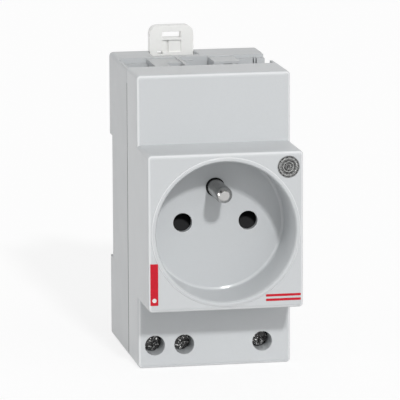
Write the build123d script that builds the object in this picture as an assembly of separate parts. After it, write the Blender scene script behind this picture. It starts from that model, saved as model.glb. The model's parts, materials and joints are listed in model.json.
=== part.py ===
"""Modular socket outlet for a 35 mm panel-board rail, 2.5 modules wide.

Frame: millimetres, +Z up, the front faces -Y and +X is on the right seen from the front.
The origin is in the middle of the rail seat: y = 0 is the plane that lies against the front
of the rail, z = 0 is the middle of the rail's height and x = 0 the middle of the housing.
"""
from build123d import *
import math
import os

# Housing, reaches are measured from the rail seat plane
body_width = 44.5
body_height = 85.0
back_reach = 5.0
split_reach = 27.0
shoulder_reach = 44.0
nose_reach = 62.0
nose_height = 45.0
wall = 1.6
edge_radius = 1.2
back_radius = 0.8
seam_chamfer = 0.3
rib = 1.4

# How far a cutter runs past a face and a joined form into its neighbour, and how close edges are matched
overlap = 1.0
match = 0.01

# Clearances
slide_gap = 0.1
guide_gap = 0.15
seat_gap = 0.1
running_gap = 0.06

# Rail and what grips it
rail_height = 35.0
rail_room = 0.8
flange_thickness = 1.0
flange_gap = 0.25
seat_wall = 2.0
hook_overlap = 1.7
hook_width = 10.0
hook_inset = 8.25
hook_chamfer = 0.9

# Plug well, and the land of the nose's face beside it where that is narrowest
well_land = 2.25
well_depth = 16.5
well_wall = 1.6
floor_thickness = 2.0
bead_width = 1.4
bead_height = 0.4
floor_fillet = 0.9

# Plug pins and earth pin
pin_spacing = 19.0
pin_hole_radius = 2.75
pin_hole_chamfer = 0.12
earth_rise = 10.0
earth_reach = 14.7
earth_radius = 2.4
earth_tip_radius = 1.0
earth_hole_radius = 2.75
earth_neck_radius = 2.2
earth_collar_radius = 3.6
earth_collar_thickness = 1.2
rivet_radius = 1.5
rivet_head_radius = 2.3
rivet_head_height = 0.6

# Indicator, set in from the side and down from the top of the nose
lens_inset = 4.35
lens_drop = 4.5
lens_radius = 3.1
lens_proud = 0.2
lens_head = 2.8
lens_stem_radius = 2.3
lens_stem = 3.6
lens_groove_radii = (1.7, 2.5)
lens_groove_width = 0.35
lens_groove_depth = 0.4
lens_boss_depth = 3.0
lens_boss_wall = 1.2
lamp_radius = 2.0
lamp_length = 15.5
lamp_tip_gap = 0.5
lead_radius = 0.3
lead_pitch = 1.4
lead_bend = 1.2

# Terminals, set in from the left side, the line terminal from the right, and up from the bottom
neutral_inset = 4.8
earth_inset = 13.35
line_inset = 8.4
terminal_rise = 6.7
access_radius = 2.9
access_wall = 1.1
ledge_reach = 35.0
ledge_thickness = 1.2
screw_radius = 1.95
screw_pitch = 0.7
screw_turns = 6
head_radius = 2.6
head_height = 2.2
head_chamfer = 0.35
drive_width = 0.8
drive_depth = 1.1
cage_width = 6.0
cage_height = 7.4
cage_side_wall = 0.9
cage_front_wall = 1.5
cage_rear_wall = 1.3
cage_corner = 0.7
wire_gap = 4.4
wire_notch_width = 4.6
wire_funnel = 0.5
cage_play = 0.2

# Contacts and strips
strip_thickness = 1.0
strip_width = 4.0
contact_radius = 2.35
contact_wall = 0.7
contact_slit = 0.8
contact_mouth_chamfer = 0.3
strip_hole_radius = 2.6
strip_end_gap = 1.1
contact_arm_height = 8.0
solder_tab_rise = 8.0
earth_jog_z = -16.0
earth_eye_radius = 3.2
grip_gap = 0.05
grip_thickness = 0.35
grip_length = 3.0

# Shutter and its spring
shutter_depth = 5.1
shutter_travel = 7.2
shutter_cover = 1.45
shutter_bottom = 6.5
shutter_head_width = 7.0
shutter_lap = 0.6
shutter_land = 0.8
shutter_bridge_height = 2.9
shutter_bridge_depth = 2.7
peg_radius = 0.9
peg_length = 1.4
spring_radius = 1.45
spring_wire = 0.22
shutter_spring_turns = 7

# Contact carrier
carrier_plate = 2.0
carrier_gap = 0.3
chamber_depth = 8.5
chamber_room = 0.25
chamber_wall = 0.9
shutter_rail_width = 1.6
shutter_rail_top = 6.0
shutter_rail_margin = 1.3
spring_shelf = 1.4
spring_shelf_width = 6.0
earth_boss_wall = 1.3
carrier_corner = 2.0

# Series resistor of the indicator
resistor_length = 6.3
resistor_radius = 1.15
resistor_end_radius = 1.3
resistor_end = 1.3
resistor_inset = 11.75
resistor_boss_gap = 1.34
resistor_back = 31.5
cradle_width = 1.1
cradle_inset = 2.2
cradle_height = 3.2

# Rail clip and its spring
clip_x = -4.1
clip_width = 13.0
clip_top = 50.3
clip_corner = 2.5
clip_travel = 4.5
clip_flange = 1.55
clip_depth = 3.35
clip_body_width = 9.8
clip_release_room = 2.9
clip_nose_chamfer = 1.0
clip_window_width = 5.6
clip_window_height = 1.8
clip_window_z = 47.5
clip_panel_depth = 0.5
clip_panel_height = 3.6
clip_groove_width = 0.5
clip_slot_width = 1.6
clip_slot_height = 0.9
clip_slot_x = -3.5
clip_slot_z = 42.3
spring_window_width = 3.4
spring_window_room = 1.4
clip_peg_z = 35.6
clip_peg_height = 2.0
clip_peg_width = 2.6
clip_spring_turns = 8
clip_spring_packed = 8.4
clip_spring_wire = 0.25
clip_spring_radius = 1.15

# Trough in the top of the rear base
rim_reach = 9.5
trough_depth = 4.0
trough_side_wall = 1.0
side_wall_drop = 0.5
side_notch_start = 3.0
side_notch_end = 19.0
tab_drop = 0.3
clip_tab_x = (-13.5, -9.3)
clip_tab_reach = 25.0
inner_tab_x = (-9.3, -5.0)
inner_tab_reach = 19.3
tab_rib_x = (-5.0, -4.1)
latch_tab_x = (4.7, 12.3)
latch_tab_reach = 19.5
latch_slots_x = ((7.6, 10.0), (11.2, 12.3))
latch_slot_drop = 0.7
latch_slot_depth = 2.0
left_ledge_reach = 12.5
left_ledge_drop = 1.5
middle_ledge_end = 0.0
middle_ledge_reach = 11.0
middle_ledge_drop = 1.1
right_ledge_reach = 11.5
right_ledge_drop = 0.9
ledge_groove_insets = (4.35, 3.55)
ledge_groove_width = 0.35
clip_notch_depth = 2.9
clip_notch_room = 0.5
clip_notch_reach = 6.3

# Snap tongues that hold the cover on the base
tongue_width = 5.0
tongue_thickness = 1.5
tongue_length = 7.6
tongue_root = 6.0
barb_height = 1.2
barb_length = 2.0
barb_gap = 0.25
top_tongue_inset = 5.75
bottom_tongue_x = (2.5,)

# Support ribs of the rear base
support_rib_offset = 4.5
support_rib_bottom = -28.0
support_rib_top = 5.5

# Planes that several pieces share
half_width = body_width / 2
half_height = body_height / 2
nose_face = -nose_reach
shoulder_face = -shoulder_reach
seam = -split_reach
slot_half = rail_height / 2 + rail_room
hook_face = flange_thickness + flange_gap
floor_front = nose_face + well_depth
floor_back = floor_front + floor_thickness
well_tube_end = floor_front - floor_fillet
well_radius = min(body_width, nose_height) / 2 - well_land
shutter_front = floor_back + slide_gap
shutter_back = shutter_front + shutter_depth
carrier_front = shutter_back + slide_gap
carrier_back = carrier_front + carrier_plate
chamber_end = carrier_back + chamber_depth
strip_front = chamber_end + seat_gap
strip_back = strip_front + strip_thickness
rib_front = strip_back + seat_gap
terminal_x = {
    "neutral": -half_width + neutral_inset,
    "earth": -half_width + earth_inset,
    "line": half_width - line_inset,
}
terminal_z = -half_height + terminal_rise
screw_tip = strip_front - seat_gap
ledge_back = -ledge_reach
ledge_front = ledge_back - ledge_thickness
head_front = ledge_front - head_height
cage_inner_front = strip_front - cage_play
cage_inner_rear = strip_back + wire_gap
cage_front = cage_inner_front - cage_front_wall
cage_rear = cage_inner_rear + cage_rear_wall
cage_travel = screw_turns * screw_pitch
trough_floor = half_height - trough_depth
cavity_top = trough_floor - wall
cavity_bottom = -half_height + wall
clip_front = hook_face + slide_gap
clip_rear = clip_front + clip_depth
lens_x = half_width - lens_inset
lens_z = nose_height / 2 - lens_drop
lens_front = nose_face - lens_proud
lens_step = lens_front + lens_head
lens_tip = lens_step + lens_stem
lamp_front = lens_tip + lamp_tip_gap
lamp_rear = lamp_front + lamp_length
contact_outer = contact_radius + contact_wall
grip_outer = contact_outer + grip_gap + grip_thickness
chamber_half = grip_outer + chamber_room
carrier_half_height = nose_height / 2 - wall - carrier_gap
shelf_top = spring_shelf - carrier_half_height
shutter_spring_length = -shutter_bottom - 2 * seat_gap - shelf_top
shutter_rail_bottom = shutter_bottom + shutter_travel + shutter_rail_margin
earth_boss_radius = earth_radius + running_gap + earth_boss_wall
lamp_hole_radius = lamp_radius + running_gap
resistor_centre_x = lens_x - resistor_inset
resistor_centre_z = earth_rise + earth_boss_radius + resistor_boss_gap + resistor_end_radius
clip_nose_z = rail_height / 2 + clip_release_room - clip_travel
clip_spring_top = clip_peg_z - clip_peg_height / 2 - seat_gap
clip_spring_bottom = clip_spring_top - clip_travel - clip_spring_packed
spring_window_bottom = clip_spring_bottom - seat_gap
spring_window_top = clip_peg_z + clip_peg_height / 2 + spring_window_room
top_tongue_x = (top_tongue_inset - half_width, half_width - top_tongue_inset)
top_tongue_z = cavity_top - seat_gap
bottom_tongue_z = cavity_bottom + seat_gap


def block(x0, x1, y0, y1, z0, z1):
    """Box between two corners."""
    centre = Pos((x0 + x1) / 2, (y0 + y1) / 2, (z0 + z1) / 2)
    return centre * Box(x1 - x0, y1 - y0, z1 - z0)


def rod_y(radius, y0, y1, x=0.0, z=0.0):
    """Cylinder along Y between two planes."""
    return Pos(x, (y0 + y1) / 2, z) * Rot(90, 0, 0) * Cylinder(radius, y1 - y0)


def rod_z(radius, z0, z1, x=0.0, y=0.0):
    """Cylinder along Z between two heights."""
    return Pos(x, y, (z0 + z1) / 2) * Cylinder(radius, z1 - z0)


def rounded_tube(width, height, radius, y0, y1):
    """Rounded rectangle in the XZ plane, run along Y."""
    plane = Plane(origin=(0, y0, 0), x_dir=(1, 0, 0), z_dir=(0, 1, 0))
    return extrude(plane * RectangleRounded(width, height, radius), y1 - y0)


def side_profile(points, x0, x1):
    """Outline in the YZ plane, run along X."""
    outline = Plane(origin=(x0, 0, 0), x_dir=(0, 1, 0), z_dir=(1, 0, 0)) * Polyline(*points, close=True)
    return extrude(make_face(outline), x1 - x0, dir=(1, 0, 0))


def plan_profile(points, z0, z1):
    """Outline in the XY plane, run along Z."""
    return Pos(0, 0, z0) * extrude(make_face(Polyline(*points, close=True)), z1 - z0, dir=(0, 0, 1))


def front_profile(points, y0, y1):
    """Outline in the XZ plane, run along Y."""
    outline = Plane(origin=(0, y0, 0), x_dir=(1, 0, 0), z_dir=(0, -1, 0)) * Polyline(*points, close=True)
    return extrude(make_face(outline), y1 - y0, dir=(0, 1, 0))


def turned(points, x, z):
    """Solid of revolution about a line along Y, from (radius, y) points."""
    outline = Polyline(*[(r, y) for r, y in points], close=True)
    return Pos(x, 0, z) * revolve(make_face(outline), Axis.Y)


def edges_at(solid, y=None, tolerance=match):
    """Edges that lie in one plane across the depth."""
    return [e for e in solid.edges() if abs(e.bounding_box().min.Y - y) < tolerance
            and abs(e.bounding_box().max.Y - y) < tolerance]


def coil(radius, wire, turns, z0, z1, x, y):
    """Helical compression spring between two heights."""
    height = z1 - z0 - 2 * wire
    path = Helix(pitch=height / turns, height=height, radius=radius)
    start = Plane(origin=path @ 0, z_dir=path % 0)
    wire_solid = sweep(start * Circle(wire), path=path, is_frenet=True)
    return Pos(x, y, z0 + wire) * wire_solid


def lead(points):
    """Stiff wire bent to a route."""
    path = FilletPolyline(*points, radius=lead_bend)
    start = Plane(origin=path @ 0, z_dir=path % 0)
    return sweep(start * Circle(lead_radius), path=path)


def housing_block(height, y_front, y_rear, front_radius):
    """Rounded block of the housing's width, with its front edges rounded."""
    solid = rounded_tube(body_width, height, edge_radius, y_front, y_rear)
    return fillet(edges_at(solid, y_front), front_radius)


def lens_bore():
    """Stepped hole that the indicator lens sits in."""
    head_seat = lens_step + seat_gap
    bore = rod_y(lens_radius + running_gap, nose_face - overlap, head_seat, lens_x, lens_z)
    return bore + rod_y(lens_stem_radius + running_gap, nose_face, floor_back, lens_x, lens_z)


def tongue(x, outer_z, up):
    """Snap tongue of the cover, with its barb towards up (+1 top, -1 bottom)."""
    inner_z = outer_z - up * tongue_thickness
    rear = seam + tongue_length
    barb_top = outer_z + up * barb_height
    outline = [
        (seam - tongue_root, inner_z),
        (rear, inner_z),
        (rear, outer_z),
        (rear - barb_length, barb_top),
        (rear - barb_length, outer_z),
        (seam - tongue_root, outer_z),
    ]
    return side_profile(outline, x - tongue_width / 2, x + tongue_width / 2)


def tongue_root_web(x, outer_z, wall_z):
    """Web that joins a tongue to the cover's wall."""
    low, high = sorted((outer_z, wall_z))
    return block(x - tongue_width / 2, x + tongue_width / 2, seam - tongue_root, seam - rib, low, high)


def make_front_cover():
    """Cover with shoulders, nose, plug well, lens hole and screw access tubes."""
    shoulder = housing_block(body_height, shoulder_face, seam, edge_radius)
    nose = housing_block(nose_height, nose_face, shoulder_face + wall, edge_radius)
    cover = shoulder + nose
    cover = chamfer(edges_at(cover, seam), seam_chamfer)
    inner_width = body_width - 2 * wall
    cover -= rounded_tube(inner_width, body_height - 2 * wall, wall, shoulder_face + wall, seam + overlap)
    cover -= rounded_tube(inner_width, nose_height - 2 * wall, wall, nose_face + wall,
                          shoulder_face + 2 * wall)

    cover += rod_y(well_radius + well_wall, nose_face + edge_radius, well_tube_end)
    bead_centre = well_radius + bead_width / 2
    bead = Pos(bead_centre, nose_face) * Ellipse(bead_width / 2, bead_height)
    cover += revolve(bead, Axis.Y)
    inside = [
        (0, nose_face - overlap),
        (well_radius + bead_width / 4, nose_face - overlap),
        (well_radius + bead_width / 4, nose_face - bead_height),
        (well_radius, nose_face + bead_width / 4),
        (well_radius, well_tube_end + overlap),
        (0, well_tube_end + overlap),
    ]
    cover -= turned(inside, 0, 0)

    corner = lens_radius + lens_boss_wall
    boss_rear = lens_step + lens_boss_depth
    boss = block(lens_x - corner, half_width - wall / 2, nose_face + wall / 2, boss_rear,
                 lens_z - corner, nose_height / 2 - wall / 2)
    cover += boss - rod_y(well_radius, nose_face - overlap, boss_rear + overlap)
    cover -= lens_bore()

    cover += block(-half_width + wall / 2, half_width - wall / 2, seam - rib, seam, cavity_top,
                   half_height - wall / 2)

    tube_radius = access_radius + access_wall
    for x in terminal_x.values():
        tube = rod_y(tube_radius, shoulder_face + wall / 2, ledge_back, x, terminal_z)
        cover += tube & block(-half_width + wall / 2, half_width - wall / 2, shoulder_face, seam,
                              -half_height + wall / 2, half_height)
        cover -= rod_y(access_radius, shoulder_face - overlap, ledge_front, x, terminal_z)
        cover -= rod_y(screw_radius + running_gap, ledge_front - overlap, ledge_back + overlap, x, terminal_z)

    for x in top_tongue_x:
        cover += tongue(x, top_tongue_z, 1)
        cover += tongue_root_web(x, top_tongue_z - tongue_thickness, half_height - wall / 2)
    for x in bottom_tongue_x:
        cover += tongue(x, bottom_tongue_z, -1)
        cover += tongue_root_web(x, bottom_tongue_z + tongue_thickness, -half_height + wall / 2)
    return cover


def make_well_floor():
    """Plate behind the cover's tube: the well's dished floor, with the holes of the pins and the lamp."""
    margin = wall + seat_gap
    plate = rounded_tube(body_width - 2 * margin, nose_height - 2 * margin, wall, well_tube_end, floor_back)
    bend = floor_fillet * (1 - math.sqrt(0.5))
    dish = [
        (0, well_tube_end - overlap),
        (well_radius, well_tube_end - overlap),
        (well_radius, well_tube_end),
        (well_radius - bend, floor_front - bend),
        (well_radius - floor_fillet, floor_front),
        (0, floor_front),
    ]
    floor = plate - turned(dish, 0, 0)
    floor -= rod_y(lamp_hole_radius, well_tube_end - overlap, floor_back + overlap, lens_x, lens_z)
    hole = rod_y(pin_hole_radius, floor_front - overlap, floor_back + overlap)
    mouth = Pos(0, floor_front, 0) * Rot(90, 0, 0) * Cone(
        pin_hole_radius, pin_hole_radius + 2 * pin_hole_chamfer, 2 * pin_hole_chamfer)
    for x in (-pin_spacing / 2, pin_spacing / 2):
        floor -= Pos(x, 0, 0) * (hole + mouth)
    return floor - rod_y(earth_hole_radius, floor_front - overlap, floor_back + overlap, 0, earth_rise)


def terminal_walls():
    """Partition walls beside the terminal cages, as spans along X."""
    reach = cage_width / 2 + guide_gap
    neutral, earth, line = (terminal_x[name] for name in ("neutral", "earth", "line"))
    return [
        (neutral + reach, earth - reach),
        (earth + reach, earth + reach + rib),
        (line - reach - rib, line - reach),
        (line + reach, line + reach + rib),
    ]


def trough_tab(span, reach, drop):
    """Block left standing in the trough, from its front end back into the rim."""
    return block(*span, -reach, -rim_reach + overlap, trough_floor - overlap, half_height - drop)


def trough():
    """What is cut from the top of the rear base, with the tabs, ledges and rib left standing."""
    inner = half_width - trough_side_wall
    top = half_height + overlap
    pocket = block(-inner, inner, seam - overlap, -rim_reach, trough_floor, top)
    pocket -= trough_tab(clip_tab_x, clip_tab_reach, tab_drop)
    pocket -= trough_tab(inner_tab_x, inner_tab_reach, tab_drop)
    pocket -= trough_tab(tab_rib_x, clip_tab_reach, 0)
    pocket -= trough_tab(latch_tab_x, latch_tab_reach, tab_drop)
    pocket -= trough_tab((-inner, clip_tab_x[0]), left_ledge_reach, left_ledge_drop)
    pocket -= trough_tab((tab_rib_x[1], middle_ledge_end), middle_ledge_reach, middle_ledge_drop)
    pocket -= trough_tab((latch_tab_x[1], inner), right_ledge_reach, right_ledge_drop)

    slot_top = half_height - tab_drop - latch_slot_drop
    for x0, x1 in latch_slots_x:
        pocket += block(x0, x1, -latch_tab_reach - overlap, latch_slot_depth - latch_tab_reach, trough_floor,
                        slot_top)
    for inset in ledge_groove_insets:
        x = half_width - inset
        pocket += block(x - ledge_groove_width / 2, x + ledge_groove_width / 2, -right_ledge_reach - overlap,
                        -rim_reach, trough_floor, top)

    pocket += block(-half_width - overlap, -inner + overlap, seam - overlap, -rim_reach,
                    half_height - side_wall_drop, top)
    pocket += block(inner - overlap, half_width + overlap, seam - overlap, -rim_reach,
                    half_height - side_wall_drop, top)
    pocket += block(inner, half_width + overlap, -side_notch_end, -side_notch_start, trough_floor, top)
    notch_half = clip_width / 2 + clip_notch_room
    pocket += block(clip_x - notch_half, clip_x + notch_half, -clip_notch_reach, hook_face,
                    half_height - clip_notch_depth, top)
    return pocket


def clip_channel():
    """T-shaped channel that the rail clip slides in, open at both ends."""
    wide = clip_width / 2 + guide_gap
    narrow = clip_body_width / 2 + guide_gap
    lip_front = clip_front + clip_flange + slide_gap
    bottom = slot_half - overlap
    top = half_height + overlap
    channel = block(clip_x - wide, clip_x + wide, hook_face, lip_front, bottom, top)
    channel += block(clip_x - narrow, clip_x + narrow, hook_face, back_reach + overlap, bottom, top)
    peg_low = clip_peg_z - clip_peg_height / 2
    half_peg = clip_peg_width / 2
    peg = block(clip_x - half_peg, clip_x + half_peg, hook_face - overlap, clip_rear - seat_gap,
                peg_low, peg_low + clip_peg_height)
    return channel - peg


def make_rear_base():
    """Base with the rail seat, lower hooks, clip channel, trough and inner ribs."""
    outer = rounded_tube(body_width, body_height, edge_radius, seam, back_reach)
    outer = fillet(edges_at(outer, back_reach), back_radius)
    outer = chamfer(edges_at(outer, seam), seam_chamfer)
    slot = block(-half_width - overlap, half_width + overlap, 0, back_reach + overlap, -slot_half, slot_half)
    base = outer - slot

    inner = half_width - wall
    cavity = block(-inner, inner, seam - overlap, -seat_wall, cavity_bottom, cavity_top)
    rear_room = back_reach - wall
    block_edge = slot_half + wall
    cavity += block(-inner, inner, -seat_wall - overlap, rear_room, cavity_bottom, -block_edge)
    channel_edge = clip_width / 2 + guide_gap + rib
    rim_inner = -rim_reach + wall
    rim_side = inner - rib / 2
    for x0, x1 in ((-rim_side, clip_x - channel_edge), (clip_x + channel_edge, rim_side)):
        cavity += block(x0, x1, -seat_wall - overlap, rear_room, block_edge, cavity_top)
        cavity += block(x0, x1, rim_inner, rear_room, cavity_top - overlap, half_height - wall)
    base -= cavity
    base -= trough()
    base -= clip_channel()

    hook_tip = -(rail_height / 2 - hook_overlap)
    hook_outline = [
        (hook_face, -slot_half - rib),
        (back_reach, -slot_half - rib),
        (back_reach, hook_tip - hook_chamfer),
        (back_reach - hook_chamfer, hook_tip),
        (hook_face, hook_tip),
    ]
    for x in (hook_inset - half_width, half_width - hook_inset):
        base += side_profile(hook_outline, x - hook_width / 2, x + hook_width / 2)

    rib_x = pin_spacing / 2 + support_rib_offset
    for x in (-rib_x, 0, rib_x):
        base += block(x - rib / 2, x + rib / 2, rib_front, -seat_wall + seat_gap,
                      support_rib_bottom, support_rib_top)

    wall_top = terminal_z + cage_height / 2 + rib / 2
    wall_front = cage_front - cage_travel - seat_gap
    step = cavity_bottom + guide_gap
    wall_outline = [
        (-seat_wall + seat_gap, cavity_bottom - seat_gap),
        (seam + seat_gap, cavity_bottom - seat_gap),
        (seam + seat_gap, step),
        (wall_front, step),
        (wall_front, wall_top),
        (-seat_wall + seat_gap, wall_top),
    ]
    for x0, x1 in terminal_walls():
        base += side_profile(wall_outline, x0, x1)
    shelf_front = cage_rear + cage_play
    line_walls = terminal_walls()[2:]
    shelf_spans = [(-inner - seat_gap, terminal_walls()[1][1]), (line_walls[0][0], line_walls[1][1])]
    for x0, x1 in shelf_spans:
        base += block(x0, x1, shelf_front, shelf_front + rib, cavity_bottom - seat_gap, wall_top)

    notch_rear = cage_inner_rear + cage_play
    half_notch = wire_notch_width / 2
    for x in terminal_x.values():
        base -= block(x - half_notch, x + half_notch, seam - overlap, notch_rear,
                      -half_height - overlap, cavity_bottom + overlap)
        funnel = [
            (x - half_notch - wire_funnel, seam - overlap),
            (x + half_notch + wire_funnel, seam - overlap),
            (x + half_notch + wire_funnel, notch_rear + wire_funnel),
            (x - half_notch - wire_funnel, notch_rear + wire_funnel),
        ]
        base -= plan_profile(funnel, -half_height - overlap, -half_height + wire_funnel)

    barb_rear = seam + tongue_length + barb_gap
    barb_front = seam + tongue_length - barb_length - barb_gap
    half_window = tongue_width / 2 + barb_gap
    for x in top_tongue_x:
        base -= block(x - half_window, x + half_window, barb_front, barb_rear,
                      cavity_top - overlap, trough_floor + overlap)
    for x in bottom_tongue_x:
        base -= block(x - half_window, x + half_window, barb_front, barb_rear,
                      -half_height - overlap, cavity_bottom + overlap)
    return base


def make_rail_clip():
    """White sliding clip: lifting tab, guided flange, rail nose and spring window."""
    head_low = half_height + seat_gap
    flange = block(clip_x - clip_width / 2, clip_x + clip_width / 2, clip_front, clip_front + clip_flange,
                   clip_nose_z, head_low + overlap)
    body_outline = [
        (clip_front, clip_nose_z),
        (clip_rear - clip_nose_chamfer, clip_nose_z),
        (clip_rear, clip_nose_z + clip_nose_chamfer),
        (clip_rear, head_low + overlap),
        (clip_front, head_low + overlap),
    ]
    body = side_profile(body_outline, clip_x - clip_body_width / 2, clip_x + clip_body_width / 2)
    head = block(clip_x - clip_width / 2, clip_x + clip_width / 2, clip_front, clip_rear, head_low, clip_top)
    top_corners = [e for e in head.edges().filter_by(Axis.Y) if e.center().Z > clip_top - match]
    head = fillet(top_corners, clip_corner)
    clip = flange + body + head

    window_low = clip_window_z - clip_window_height / 2
    half_window = clip_window_width / 2
    clip -= block(clip_x - half_window, clip_x + half_window, clip_front - overlap, clip_rear + overlap,
                  window_low, window_low + clip_window_height)
    panel_top = window_low - rib / 2
    panel_low = panel_top - clip_panel_height
    panel = block(clip_x - half_window, clip_x + half_window, clip_front - overlap,
                  clip_front + clip_panel_depth, panel_low, panel_top)
    groove_x = clip_x - half_window + rib
    panel += block(groove_x, groove_x + clip_groove_width, clip_front - overlap,
                   clip_front + 2 * clip_panel_depth, panel_low, panel_top)
    clip -= panel
    slot_x = clip_x + clip_slot_x
    half_slot = clip_slot_width / 2
    clip -= block(slot_x - half_slot, slot_x + half_slot, clip_front - overlap, clip_rear + overlap,
                  clip_slot_z - clip_slot_height / 2, clip_slot_z + clip_slot_height / 2)
    half_spring = spring_window_width / 2
    clip -= block(clip_x - half_spring, clip_x + half_spring, clip_front - overlap, clip_rear + overlap,
                  spring_window_bottom, spring_window_top)
    return clip


def make_clip_spring():
    """Spring between the clip's window and the peg of the base."""
    centre_y = (clip_front + clip_rear) / 2
    return coil(clip_spring_radius, clip_spring_wire, clip_spring_turns, clip_spring_bottom, clip_spring_top,
                clip_x, centre_y)


def make_shutter():
    """Dark shutter with a sloped head behind each pin hole, pushed down by the plug."""
    top = pin_hole_radius + shutter_cover
    ramp_foot = -pin_hole_radius - shutter_lap
    head_outline = [
        (shutter_front, -shutter_bottom),
        (shutter_front, ramp_foot),
        (shutter_back - shutter_land, top),
        (shutter_back, top),
        (shutter_back, -shutter_bottom),
    ]
    inner = pin_spacing / 2 - shutter_head_width / 2
    outer = pin_spacing / 2 + shutter_head_width / 2
    shutter = side_profile(head_outline, -outer, -inner) + side_profile(head_outline, inner, outer)
    middle = (shutter_front + shutter_back) / 2
    bridge_top = -shutter_bottom + shutter_bridge_height
    half_bridge = shutter_bridge_depth / 2
    shutter += block(-inner - overlap, inner + overlap, middle - half_bridge, middle + half_bridge,
                     -shutter_bottom, bridge_top)
    shutter += rod_z(peg_radius, -shutter_bottom - peg_length, -shutter_bottom + overlap, 0, middle)
    return shutter


def make_shutter_spring():
    """Return spring between the shutter's peg and the shelf of the carrier."""
    top = -shutter_bottom - seat_gap
    middle = (shutter_front + shutter_back) / 2
    return coil(spring_radius, spring_wire, shutter_spring_turns, top - shutter_spring_length, top, 0, middle)


def make_contact_carrier():
    """Moulded carrier: plate, shutter rails, spring shelf, contact chambers and lamp seat."""
    reach = half_width - wall - carrier_gap
    plate = block(-reach, reach, carrier_front, carrier_back, -carrier_half_height, carrier_half_height)
    plate = fillet(plate.edges().filter_by(Axis.Y), carrier_corner)
    carrier = plate
    rail_in = pin_spacing / 2 + shutter_head_width / 2 + guide_gap
    for side in (-1, 1):
        x0, x1 = sorted((side * rail_in, side * (rail_in + shutter_rail_width)))
        carrier += block(x0, x1, floor_back, carrier_front + overlap, -shutter_rail_bottom, shutter_rail_top)
    half_shelf = spring_shelf_width / 2
    carrier += block(-half_shelf, half_shelf, floor_back, carrier_front + overlap,
                     -carrier_half_height, shelf_top)
    middle = (shutter_front + shutter_back) / 2
    carrier += rod_z(peg_radius, shelf_top - overlap, shelf_top + peg_length, 0, middle)

    outer = chamber_half + chamber_wall
    for x in (-pin_spacing / 2, pin_spacing / 2):
        chamber = block(x - outer, x + outer, carrier_back - overlap, chamber_end, -outer, outer)
        chamber -= block(x - chamber_half, x + chamber_half, carrier_back, chamber_end + overlap,
                         -chamber_half, chamber_half)
        carrier += chamber
        carrier -= rod_y(pin_hole_radius, carrier_front - overlap, carrier_back + overlap, x, 0)
    carrier += rod_y(earth_boss_radius, carrier_back - overlap, chamber_end, 0, earth_rise)
    bore = rod_y(earth_radius + running_gap, carrier_front - overlap, chamber_end + overlap, 0, earth_rise)
    carrier -= bore

    carrier -= rod_y(lamp_hole_radius, carrier_front - overlap, carrier_back + overlap, lens_x, lens_z)
    cradle_rear = -resistor_back
    for side in (-1, 1):
        x = resistor_centre_x + side * (resistor_length / 2 - cradle_inset)
        carrier += block(x - cradle_width / 2, x + cradle_width / 2, carrier_back - overlap, cradle_rear,
                         resistor_centre_z - cradle_height / 2, resistor_centre_z + cradle_height / 2)
    seat = Pos(resistor_centre_x, cradle_rear, resistor_centre_z) * Rot(0, 90, 0)
    carrier -= seat * Cylinder(resistor_radius + running_gap, resistor_length)
    return carrier


def contact_tube(x):
    """Round spring contact with a flared mouth and two slits."""
    mouth = carrier_back + seat_gap
    tube = rod_y(contact_outer, mouth, strip_front + strip_thickness / 2, x, 0)
    tube -= rod_y(contact_radius, mouth - overlap, strip_back + overlap, x, 0)
    flare = Pos(x, mouth, 0) * Rot(90, 0, 0) * Cone(
        contact_radius, contact_radius + 2 * contact_mouth_chamfer, 2 * contact_mouth_chamfer)
    tube -= flare
    slit_end = strip_front - strip_thickness
    tube -= block(x - contact_slit / 2, x + contact_slit / 2, mouth - overlap, slit_end,
                  -contact_outer - overlap, contact_outer + overlap)
    return tube


def make_contact(pin_x, end_x):
    """Contact tube, strip and terminal tongue stamped and folded from one sheet."""
    half = strip_width / 2
    bottom = cavity_bottom + strip_end_gap
    side = 1 if end_x > pin_x else -1
    inner = pin_x - side * (contact_outer + contact_wall / 2)
    outer = end_x + side * half
    arm_half = contact_arm_height / 2
    outline = [
        (outer, bottom),
        (outer, solder_tab_rise),
        (end_x - side * half, solder_tab_rise),
        (end_x - side * half, arm_half),
        (inner, arm_half),
        (inner, -arm_half),
        (end_x - side * half, -arm_half),
        (end_x - side * half, bottom),
    ]
    strip = front_profile(outline, strip_front, strip_back)
    strip += contact_tube(pin_x)
    return strip - rod_y(strip_hole_radius, strip_front + strip_thickness / 4, strip_back + overlap, pin_x, 0)


def make_grip_spring(x):
    """Open steel band round a contact tube."""
    middle = (carrier_back + strip_front) / 2
    inner = contact_outer + grip_gap
    band = rod_y(grip_outer, middle - grip_length / 2, middle + grip_length / 2, x, 0)
    band -= rod_y(inner, middle - grip_length, middle + grip_length, x, 0)
    return band - block(x - contact_slit, x + contact_slit, middle - grip_length, middle + grip_length,
                        -grip_outer - overlap, 0)


def make_earth_pin():
    """Turned earth pin with a rounded tip, a collar behind the well floor and a rivet end."""
    tip = floor_front - earth_reach
    radius = earth_tip_radius
    bend = radius * (1 - math.sqrt(0.5))
    collar_rear = floor_back + earth_collar_thickness
    rivet_end = strip_back + rivet_head_height
    outline = [
        (0, tip),
        (earth_radius - radius, tip),
        (earth_radius - bend, tip + bend),
        (earth_radius, tip + radius),
        (earth_radius, floor_front - seat_gap),
        (earth_neck_radius, floor_front - seat_gap),
        (earth_neck_radius, floor_back),
        (earth_collar_radius, floor_back),
        (earth_collar_radius, collar_rear),
        (earth_radius, collar_rear),
        (earth_radius, strip_front),
        (rivet_radius, strip_front),
        (rivet_radius, strip_back),
        (rivet_head_radius, strip_back),
        (rivet_head_radius - rivet_head_height / 2, rivet_end),
        (0, rivet_end),
    ]
    return turned(outline, 0, earth_rise)


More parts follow.
